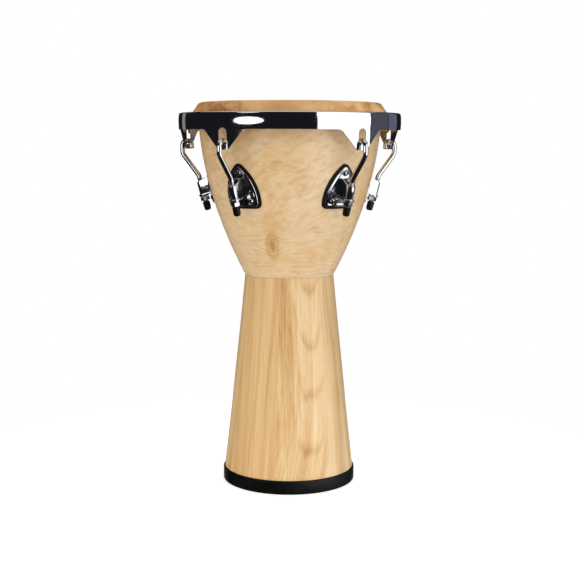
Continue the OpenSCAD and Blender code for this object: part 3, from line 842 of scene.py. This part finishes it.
# %% [markdown]
# ## Tension hooks
# A hook is cold-bent round rod. Its middle line lies in a plane through the drum's axis: a
# short tip, a half circle over the wing's strip, a straight leg, a crank in towards the shell,
# and a long threaded end. A circle is carried along that line; on the threaded end its radius
# follows the screw: it swings once a pitch along the rod and once a turn round it.

# %% Hook path
ROD_R = 4 * MM
PITCH = 1.25 * MM
THREAD_DEPTH = 0.55 * MM
HOOK_BEND = 8 * MM
KNEE = 14 * MM
tilt_u = np.array([math.sin(LUG_TILT), math.cos(LUG_TILT)])
rod_base = np.array([ROD_AXIS_R, LUG_Z])
NUT_TOP = -4.9 * MM
NUT_H = 6.5 * MM
CAP_TOP = NUT_TOP - NUT_H - 1.4 * MM
ROD_END = CAP_TOP - 12 * MM
THREAD_TOP = 27 * MM
TIP_DROP, OUT_KNEE_DROP, IN_KNEE_RISE = 5 * MM, 13 * MM, 30 * MM
hook_c = np.array([176.4 * MM, WINDOW_LOW - 2.4 * MM])
out_knee = hook_c + [HOOK_BEND, -OUT_KNEE_DROP]
in_knee = rod_base + IN_KNEE_RISE / tilt_u[1] * tilt_u


def straight_run(a, b, step):
    """Points from a up to, but not at, b, about one step apart."""
    count = max(2, int(np.linalg.norm(b - a) / step))
    return a + np.linspace(0, 1, count, endpoint=False)[:, None] * (b - a)


def crank(corner, before, after, radius, steps=10):
    """The arc that rounds a corner of the rod's middle line."""
    return rounded([before, corner, after], [0, radius, 0], steps)[1:-1]


tip_top = hook_c - [HOOK_BEND, 0]
tip = tip_top - [0, TIP_DROP]
leg_top = hook_c + [HOOK_BEND, 0]
rod_end = rod_base + ROD_END * tilt_u
thread_end = rod_base + THREAD_TOP * tilt_u
upper = crank(out_knee, leg_top, in_knee, KNEE)
lower = crank(in_knee, out_knee, rod_end, KNEE)
hook_line = np.concatenate([
    straight_run(tip, tip_top, 1 * MM),
    arc(hook_c, HOOK_BEND, 180, 0, 32)[:-1],
    straight_run(leg_top, upper[0], 2 * MM),
    upper[:-1],
    straight_run(upper[-1], lower[0], 3 * MM),
    lower[:-1],
    straight_run(lower[-1], thread_end, 1 * MM),
    straight_run(thread_end, rod_end, PITCH / 8),
    rod_end[None],
])
print(f"hook: {len(hook_line)} stations along its middle line")


# %% Hooks
def carry_circle(line, radius, around):
    """Round rod on a plane line: at each station the circle stands square to the line.

    line holds (r, z) stations, radius is (stations, around), and the third axis is level."""
    step = np.gradient(line, axis=0)
    step /= np.linalg.norm(step, axis=1)[:, None]
    a = np.linspace(0, 2 * np.pi, around, endpoint=False)
    side = np.stack([step[:, 1], -step[:, 0]], 1)
    flat = line[:, None, :] + radius[:, :, None] * np.cos(a)[None, :, None] * side[:, None, :]
    return np.stack([flat[..., 0], radius * np.sin(a), flat[..., 1]], -1)


AROUND = 24
gone = np.concatenate([[0], np.cumsum(np.linalg.norm(np.diff(hook_line, axis=0), axis=1))])
total = gone[-1]
screw_start = total - np.linalg.norm(rod_end - thread_end)
a = np.linspace(0, 2 * np.pi, AROUND, endpoint=False)
runout = ease((gone - screw_start) / (3 * MM))[:, None]
wave = 0.5 + 0.5 * np.cos(2 * np.pi * gone[:, None] / PITCH - a)
radius = ROD_R - THREAD_DEPTH * runout * wave
blunt = 1.2 * MM
from_end = np.minimum(gone, total - gone)
dome = np.sqrt(np.clip(1 - (1 - np.clip(from_end / blunt, 0, 1)) ** 2, 0, 1))
radius = radius - (blunt * (1 - dome))[:, None]
hook_grid = carry_circle(hook_line, radius, AROUND)
hook_faces = tube_faces(len(hook_line), AROUND)


def at_lug(points, k):
    """Points from the plane of lug k, with X outwards from the drum's axis, to the drum."""
    turn = lug_turns[k - 1]
    place = np.eye(4)
    place[:2, :2] = [[math.cos(turn), -math.sin(turn)], [math.sin(turn), math.cos(turn)]]
    return moved(points, place)


for k in range(1, LUGS + 1):
    new_piece(f"hook_{k}", at_lug(hook_grid.reshape(-1, 3), k), hook_faces, rod_chrome, f"hook_{k}",
              [f"tension_hook_{k}"], sharp=75)
print("hooks:", LUGS)

# %% [markdown]
# ## Caps, nuts and washers
# The cap is a soft sleeve with a domed end and a thick lip. The nut's outline is a hexagon cut
# back at both ends by a cone, so its radius at an angle is the smaller of the two. The washer
# is a punched ring with rolled edges.

# %% Caps
CAP_R, CAP_LEN = 6 * MM, 15 * MM
CAP_BORE = ROD_R - 0.1 * MM
cap_loop = rounded(
    [[0, CAP_TOP - CAP_LEN], [CAP_R - 0.5 * MM, CAP_TOP - CAP_LEN], [CAP_R, CAP_TOP],
     [CAP_BORE, CAP_TOP], [CAP_BORE, ROD_END], [0, ROD_END]],
    [0, 3.6 * MM, 0.9 * MM, 0.4 * MM, 0, 0], 8)
cap_points, cap_faces = lathe(cap_loop, 48)
at_each_lug("cap", cap_points, cap_faces, cap_rubber, "hook_{}", "hook_cap")


# %% Nuts
def hexagon_r(a, across_flats):
    """Radius of a hexagon's side at angle a: half the flats over the cosine from its middle."""
    from_flat = (a + np.pi / 6) % (np.pi / 3) - np.pi / 6
    return across_flats / 2 / np.cos(from_flat)


def hex_nut(across_flats, height, bore, around=96):
    """Chamfered nut standing on z = 0: rows go up the outside and back down the bore."""
    a = np.linspace(0, 2 * np.pi, around, endpoint=False) + np.pi / 6
    z = np.array([0, 0.3, 0.7, 1.2, 2, 4.5, 5.3, 5.8, 6.2, 6.5]) / 6.5 * height
    from_end = np.minimum(z, height - z)[:, None]
    cone = across_flats / 2 * 0.97 + from_end * 1.75
    outside = np.minimum(hexagon_r(a, across_flats)[None], cone)
    chamfer = 0.6 * MM
    bore_z = np.array([height, height - chamfer, chamfer, 0])
    bore_r = np.array([bore + chamfer, bore, bore, bore + chamfer])
    z = np.concatenate([z, bore_z])
    r = np.concatenate([outside, np.repeat(bore_r[:, None], around, 1)])
    grid = np.stack([r * np.cos(a), r * np.sin(a), np.repeat(z[:, None], around, 1)], -1)
    return grid.reshape(-1, 3), quads(len(z), around, True, True)


NUT_AF = 13 * MM
points, faces = hex_nut(NUT_AF, NUT_H, ROD_R + 0.1 * MM)
points[:, 2] += NUT_TOP - NUT_H
at_each_lug("tuning_nut", points, faces, bolt_chrome, "nut_{}", "lug_nut", sharp=20)

# %% Washers
HOLE_R = 4.55 * MM
LEDGE_T = 3 * MM
WASHER_R, WASHER_T = 7.6 * MM, 1.6 * MM
washer_loop = rounded(
    [[HOLE_R, -LEDGE_T - WASHER_T], [WASHER_R, -LEDGE_T - WASHER_T],
     [WASHER_R, -LEDGE_T], [HOLE_R, -LEDGE_T]],
    [0.3 * MM, 0.5 * MM, 0.3 * MM, 0.2 * MM])
one, one_faces = lathe(washer_loop, 64)
points = np.concatenate([moved(one, lug_place(k)) for k in range(1, LUGS + 1)])
faces = [[i + n * len(one) for i in f] for n in range(LUGS) for f in one_faces]
new_piece("washers", points, faces, bolt_chrome, "root", ["lug_washers"])
print("washers:", LUGS)

# %% [markdown]
# ## Side plates and gaskets
# A side plate is a shield outline bent onto the bowl. Its points are given in the lug's own
# frame, sideways and along the rod, and then pushed in along the frame's X until they stand
# the wanted distance off the shell. The plate has a soft raised border; the gasket is flat
# sheet that shows as a black margin all round.


# %% Shield outline on the shell
def shield_half(half_w, height, widest, tip_r, corner_r):
    """Right half of a shield: a rounded foot corner, one large arc, and a rounded tip."""
    rise = height - tip_r - widest
    big = (rise**2 + half_w**2 - tip_r**2) / (2 * (half_w - tip_r))
    corner_x = half_w - big + math.sqrt((big - corner_r) ** 2 - (corner_r - widest) ** 2)
    low = math.degrees(math.atan2(corner_r - widest, corner_x + big - half_w))
    high = math.degrees(math.atan2(rise, big - half_w))
    return np.concatenate([
        arc([corner_x, corner_r], corner_r, -90, low, 8),
        arc([half_w - big, widest], big, low, high, 26)[1:],
        arc([0, height - tip_r], tip_r, high, 90, 8)[1:],
    ])


GASKET_W, GASKET_H = 61 * MM, 71 * MM
SHIELD_BASE = (450.5 * MM - LUG_Z) / math.cos(LUG_TILT) - 6 * MM
GASKET_T, PLATE_T, MARGIN = 2 * MM, 2.5 * MM, 3.8 * MM
PLATE_TOP = GASKET_T + PLATE_T
WIDEST, TIP_R, CORNER_R = 16 * MM, 10 * MM, 9 * MM


def shield(inset):
    """Closed outline (sideways, along the rod) of the shield, brought in by inset."""
    right = shield_half(GASKET_W / 2 - inset, GASKET_H - 2 * inset, WIDEST - inset, TIP_R - inset,
                        CORNER_R - inset)
    left = right[::-1] * [-1, 1]
    foot = np.linspace(left[-1], right[0], 12)[1:-1]
    loop = np.concatenate([right, left[1:], foot])
    return loop + [0, SHIELD_BASE + inset]


def on_shell(side, along, off):
    """Points of the lug's frame that stand off the shell: X is found by a few Newton steps."""
    cos, sin = math.cos(LUG_TILT), math.sin(LUG_TILT)
    x = np.full(np.shape(side), -21 * MM)
    for _ in range(8):
        level = LUG_Z - x * sin + along * cos
        reach = np.hypot(ROD_AXIS_R + x * cos + along * sin, side)
        x = x + (bowl_r(level) + off - reach) / cos
    return np.stack([x, side, along], -1)


def shield_solid(inset, stations):
    """Closed sheet on the shell: stations are (distance in from the outline, height off it).

    The first and last stations are drawn in to the shield's middle point."""
    loop = shield(inset)
    middle = np.array([0, (loop[:, 1].min() + loop[:, 1].max()) / 2])
    away = np.linalg.norm(loop - middle, axis=1)
    rows = []
    for inwards, off in stations:
        share = 1 - np.minimum(inwards / away, 1)
        flat = middle + (loop - middle) * share[:, None]
        rows.append(on_shell(flat[:, 0], flat[:, 1], off))
    grid = np.stack(rows)
    return grid.reshape(-1, 3), quads(len(rows), len(loop), False, True)


# %% Gaskets
FAR = 100 * MM


def flat_stations(off):
    """Stations of a flat face at one height off the shell, from its middle to near its edge."""
    return [(inwards, off) for inwards in (FAR, 24 * MM, 12 * MM, 4 * MM)]


gasket_stations = [*flat_stations(0), (0.3 * MM, 0), (0, 0.3 * MM),
                   (0, GASKET_T - 0.5 * MM), (0.15 * MM, GASKET_T - 0.15 * MM), (0.5 * MM, GASKET_T),
                   *flat_stations(GASKET_T)[::-1]]
gasket_points, gasket_faces = shield_solid(0, gasket_stations)
at_each_lug("gasket", gasket_points, gasket_faces, gasket_rubber, "root", "plate_gasket")

# %% Plates
EDGE_SOFT = 1.1 * MM
FIELD_TOP = PLATE_TOP - 0.1 * MM
RIM_H, RIM_IN, RIM_SPREAD = 0.45 * MM, 3.4 * MM, 1.5 * MM
edge_out = arc([EDGE_SOFT, PLATE_TOP - EDGE_SOFT], EDGE_SOFT, 180, 90, 6)
border = np.linspace(1.6, 9, 14) * MM
border_h = FIELD_TOP + RIM_H * np.exp(-(((border - RIM_IN) / RIM_SPREAD) ** 2))
field = np.array([12, 16, 20, 26, 34]) * MM
plate_stations = [*flat_stations(GASKET_T), (0.3 * MM, GASKET_T), (0, GASKET_T + 0.3 * MM),
                  *map(tuple, edge_out), *zip(border, border_h),
                  *((f, FIELD_TOP) for f in field), (FAR, FIELD_TOP)]
plate_points, plate_faces = shield_solid(MARGIN, plate_stations)
at_each_lug("plate", plate_points, plate_faces, cast_chrome, "root", "side_plate", sharp=60)

# %% [markdown]
# ## Bracket on the plate
# The strap is a bar of rounded section carried round a U: out from the plate, half way round
# the rod and back. Its top slopes down towards the front. The ledge below it is a thick foot
# with a hole for the rod, and takes the nut's pull.

# %% Strap
STRAP_IN, STRAP_OUT = 4.7 * MM, 6.4 * MM
STRAP_FRONT, STRAP_BACK = 20 * MM, 27 * MM
strap_mid = (STRAP_IN + STRAP_OUT) / 2
wall_x = on_shell(np.array([0.0]), np.array([10 * MM]), GASKET_T + PLATE_T / 2)[0, 0]
leg = np.linspace(wall_x, 0, 14)[:-1]
u_line = np.concatenate([
    np.stack([leg, np.full(13, -strap_mid)], 1),
    arc([0, 0], strap_mid, -90, 90, 24),
    np.stack([leg[::-1], np.full(13, strap_mid)], 1),
])
step = np.gradient(u_line, axis=0)
step /= np.linalg.norm(step, axis=1)[:, None]
side_way = np.stack([step[:, 1], -step[:, 0]], 1)
slope = (u_line[:, 0] - wall_x) / (STRAP_OUT - wall_x)
strap_h = STRAP_BACK + (STRAP_FRONT - STRAP_BACK) * slope
half = (STRAP_OUT - STRAP_IN) / 2
# The section's lower half stays on the ledge, and its upper half is lifted to the strap's top.
SECTION_H = 10 * MM
section = rounded([[-half, 0], [half, 0], [half, SECTION_H], [-half, SECTION_H]],
                  [0.2 * MM, 0.2 * MM, 0.6 * MM, 0.6 * MM], 4)
high = section[:, 1] > SECTION_H / 2
lifted = strap_h[:, None] - (SECTION_H - section[None, :, 1])
level = np.where(high[None, :], lifted, section[None, :, 1])
flat = u_line[:, None, :] + section[None, :, :1] * side_way[:, None, :]
strap_grid = np.concatenate([flat, level[..., None]], -1)
strap_faces = tube_faces(len(u_line), len(section))
print("strap section:", len(section), "points")

# %% Ledge
LEDGE_R = 8.5 * MM
a = np.linspace(0, 2 * np.pi, 96, endpoint=False)
to_side = LEDGE_R / np.maximum(np.abs(np.sin(a)), 1e-6)
to_wall = -wall_x / np.maximum(np.abs(np.cos(a)), 1e-6)
square_back = np.minimum(to_side, to_wall)
ledge_r = np.where(np.cos(a) > 0, LEDGE_R, square_back)
soft, chamfer = 0.7 * MM, 0.3 * MM
lip = arc([0, 0], soft, 0, 90, 4)
hole_rows = [(HOLE_R + chamfer, 0), (HOLE_R, -chamfer), (HOLE_R, -LEDGE_T + chamfer),
             (HOLE_R + chamfer, -LEDGE_T)]
lower_lip = [(ledge_r + (-soft + lx), -LEDGE_T + soft - lz) for lx, lz in lip[::-1]]
upper_lip = [(ledge_r + (-soft + lx), -soft + lz) for lx, lz in lip]
ledge_grid = np.stack([level_ring(a, r, z) for r, z in hole_rows + lower_lip + upper_lip])
ledge_faces = quads(len(ledge_grid), len(a), True, True)
for k in range(1, LUGS + 1):
    place = lug_place(k)
    for name, grid, faces in (("strap", strap_grid, strap_faces), ("ledge", ledge_grid, ledge_faces)):
        casting = new_piece(f"{name}_{k}", moved(grid.reshape(-1, 3), place), faces, cast_chrome, "root",
                            sharp=50)
print("brackets:", LUGS)

# %% [markdown]
# ## Mounting bolts
# Three domed screws hold each plate. Each head is turned with a low dome and has a six-sided
# socket sunk in its middle, and each shank runs through the wood to its nut inside.

# %% Bolts
HEAD_BOLT_R, HEAD_BOLT_H = 5.2 * MM, 3.4 * MM
SOCKET_AF, SOCKET_DEEP = 4 * MM, 1.9 * MM
BOLT_R, BOLT_LEN = 3 * MM, 34 * MM
a = np.linspace(0, 2 * np.pi, 48, endpoint=False)
dome_r = (HEAD_BOLT_R**2 + HEAD_BOLT_H**2) / (2 * HEAD_BOLT_H)
dome_end = math.degrees(math.asin((dome_r - HEAD_BOLT_H) / dome_r)) + 4
dome = arc([0, HEAD_BOLT_H - dome_r], dome_r, 90 - 24, dome_end, 9)
floor_z = HEAD_BOLT_H - SOCKET_DEEP
socket_rows = [(0, floor_z), (1, floor_z), (1, HEAD_BOLT_H - 0.35 * MM), (1.12, HEAD_BOLT_H - 0.2 * MM)]
socket = [level_ring(a, share * hexagon_r(a, SOCKET_AF), z) for share, z in socket_rows]
turned_r = [*dome[:, 0], HEAD_BOLT_R, HEAD_BOLT_R - 0.4 * MM, BOLT_R, BOLT_R, BOLT_R - 0.8 * MM, 0]
turned_z = [*dome[:, 1], 0.5 * MM, 0, 0, -BOLT_LEN + 0.8 * MM, -BOLT_LEN, -BOLT_LEN]
turned = [level_ring(a, r, z) for r, z in zip(turned_r, turned_z)]
bolt_grid = np.stack(socket + turned)
bolt_faces = quads(len(bolt_grid), len(a), False, True)
LOW_BOLT_TURN = math.radians(6.3)
TOP_BOLT_Z, LOW_BOLT_Z = LUG_Z + 39.5 * MM, LUG_Z - 3.5 * MM
BOLTS = [(0, TOP_BOLT_Z), (-LOW_BOLT_TURN, LOW_BOLT_Z), (LOW_BOLT_TURN, LOW_BOLT_Z)]


def bolt_place(turn, level):
    """4x4 matrix at a point of the bowl's outside: Z out of the wood, X down along it."""
    lean = math.atan2(float(bowl_r(level + MM) - bowl_r(level - MM)), 2 * MM)
    out = np.array([math.cos(lean) * math.cos(turn), math.cos(lean) * math.sin(turn), -math.sin(lean)])
    level_way = np.array([-math.sin(turn), math.cos(turn), 0])
    place = np.eye(4)
    place[:3, 2], place[:3, 1], place[:3, 0] = out, level_way, np.cross(level_way, out)
    foot = np.array([bowl_r(level) * math.cos(turn), bowl_r(level) * math.sin(turn), level])
    place[:3, 3] = foot + out * (PLATE_TOP - 0.25 * MM)
    return place


for k in range(1, LUGS + 1):
    sets = [moved(bolt_grid.reshape(-1, 3), bolt_place(lug_turns[k - 1] + t, level)) for t, level in BOLTS]
    faces = np.concatenate([bolt_faces + i * len(sets[0]) for i in range(len(sets))])
    new_piece(f"bolts_{k}", np.concatenate(sets), faces, bolt_chrome, "root", [f"plate_bolts_{k}"], sharp=35)
print("bolts:", 3 * LUGS)

# %% [markdown]
# ## Parts that keep their CAD shape
# The backing plates and nuts inside the bowl and the flesh hoop inside the lapped skin are
# plain pieces whose CAD shape is right, so they only get their plated finish.

# %% CAD nodes with new finishes
plated = [name for name in frame["nodes"] if name.startswith(("backing_plate_", "plate_nuts_", "flesh_hoop"))]
for name in plated:
    part = frame["nodes"][name]
    part.data.materials.clear()
    part.data.materials.append(zinc_steel)
print("zinc plated:", len(plated))

# %% [markdown]
# ## Studio
# The drum stands on a small table of white acrylic, lit a little from below, in a dim room
# with a white background. Chrome shows whatever stands round it, so the room matters: a broad
# white panel on the right, a small oval light on the left, dim walls, low panels, a panel behind
# and a ceiling. Most of these are seen only in the gloss, and the key, fill and overhead lights
# only light the drum, so that its reflections and its shading can be set apart. The camera sees
# none of them, and the table is left out of the reflections.

# %% Floor
floor_mat, tree, shader = new_material("white_acrylic_table", Roughness=0.6, IOR=1.49)
place = add(tree, "TexCoord").outputs["Object"]
mottle = add(tree, "TexNoise", {"Vector": place, "Scale": per_metre(120), "Detail": 3.0})
pale = add(tree, "ValToRGB", {"Fac": mottle.outputs[0]}, stops=[(0.3, "#F4F4F4"), (0.7, "#F8F8F8")])
connect(tree, shader, Base_Color=pale.outputs[0])
shader.inputs["Emission Color"].default_value = linear("#FFFFFF")
shader.inputs["Emission Strength"].default_value = 0.45
FLOOR_R = 0.62
points, faces = lathe([[0, -2 * MM], [FLOOR_R, -2 * MM], [FLOOR_R, 0], [0, 0]], 128)
floor = new_piece("floor", points, faces, floor_mat, None)
floor.visible_glossy = False

# %% Lights and surroundings
scene = bpy.context.scene
scene.view_settings.view_transform = "Standard"
world = bpy.data.worlds.new("studio")
scene.world = world
world.use_nodes = True
tree = world.node_tree
tree.nodes.clear()
backdrop = add(tree, "Background", {"Color": (1, 1, 1, 1), "Strength": 1.0})
fill = add(tree, "Background", {"Color": (1, 0.96, 0.88, 1), "Strength": 0.66})
dim_room = add(tree, "Background", {"Color": (0.8, 0.85, 1, 1), "Strength": 0.012})
ray = add(tree, "LightPath")
lit = add(tree, "MixShader", {0: ray.outputs["Is Glossy Ray"], 1: fill.outputs[0], 2: dim_room.outputs[0]})
mixed = add(tree, "MixShader", {0: ray.outputs["Is Camera Ray"], 1: lit.outputs[0], 2: backdrop.outputs[0]})
add(tree, "OutputWorld", {"Surface": mixed.outputs[0]})


AIM_HEIGHT = 0.45


def soft_box(name, bearing, height, distance, size, glow, colour="#FFFFFF", seen="both"):
    """Area light aimed at the drum's axis, on a circle round it at a bearing from the front.

    glow is its brightness; the power is glow times pi times its area. A box may light the
    drum only ("lights"), be seen only in its gloss ("mirrored"), or do both. None of them
    is seen by the camera itself."""
    light = bpy.data.lights.new(name, "AREA")
    light.shape = "RECTANGLE"
    light.size, light.size_y = size
    light.energy = glow * math.pi * size[0] * size[1]
    light.color = linear(colour)[:3]
    lamp = bpy.data.objects.new(name, light)
    scene.collection.objects.link(lamp)
    a = math.radians(bearing)
    lamp.location = (distance * math.sin(a), -distance * math.cos(a), height)
    lamp.rotation_euler = (Vector((0, 0, AIM_HEIGHT)) - lamp.location).to_track_quat("-Z", "Y").to_euler()
    lamp.visible_camera = False
    lamp.visible_diffuse = seen != "mirrored"
    lamp.visible_glossy = seen != "lights"
    return lamp


soft_box("right_panel", 55.1, 0.6, 2.2, (2.53, 2.4), 1.7, seen="mirrored")
soft_box("left_box", -42, 0.59, 2.2, (1.2, 0.33), 2.2, seen="mirrored").data.shape = "ELLIPSE"
soft_box("right_wall", 126, 0.6, 2.2, (0.85, 2.2), 0.22, "#B9C4E0")
soft_box("right_curtain", 100, 0.6, 2.25, (1.1, 2.2), 0.13, "#C4C8E0")
soft_box("low_right", 97, -0.35, 1.3, (0.9, 0.5), 0.28, seen="mirrored")
soft_box("low_left", -97, -0.35, 1.3, (0.7, 0.3), 0.12, seen="mirrored")
soft_box("low_back", 180, -0.35, 1.4, (1.8, 0.5), 0.3, seen="mirrored")
soft_box("left_wall", -137, 0.6, 2.2, (0.35, 2.2), 0.25)
soft_box("back_panel", 180, 0.6, 2.2, (0.9, 1.6), 1.2)
soft_box("key", 42, 0.9, 2.2, (2.0, 1.8), 1.28, seen="lights")
soft_box("front_fill", -42, 0.9, 2.2, (1.8, 1.6), 1.2, "#FFEACB", seen="lights")
soft_box("overhead", 0, 2.6, 0.2, (2.0, 2.0), 1.3, seen="lights")
soft_box("ceiling", 0, 2.8, 0.02, (4.6, 4.6), 0.6, seen="mirrored")
print("lights ready")

# %% Camera
# Lengths in metres and angles in radians; the sensor and the lens are in millimetres.
CAM_TURN = math.radians(-1.65)
CAM_DISTANCE, CAM_HEIGHT = 1.8596, 0.5528
CAM_DOWN, CAM_PAN, CAM_ROLL = 0.1304, 0.0024, 0.0034
lens = bpy.data.cameras.new("camera")
lens.sensor_width = 36
lens.lens = 70.7
camera = bpy.data.objects.new("camera", lens)
scene.collection.objects.link(camera)
camera.location = (CAM_DISTANCE * math.sin(CAM_TURN), -CAM_DISTANCE * math.cos(CAM_TURN), CAM_HEIGHT)
aim = Euler((math.pi / 2 - CAM_DOWN, 0, CAM_TURN - CAM_PAN)).to_matrix()
camera.rotation_euler = (aim @ Matrix.Rotation(CAM_ROLL, 3, "Z")).to_euler()
scene.camera = camera
print("camera ready")
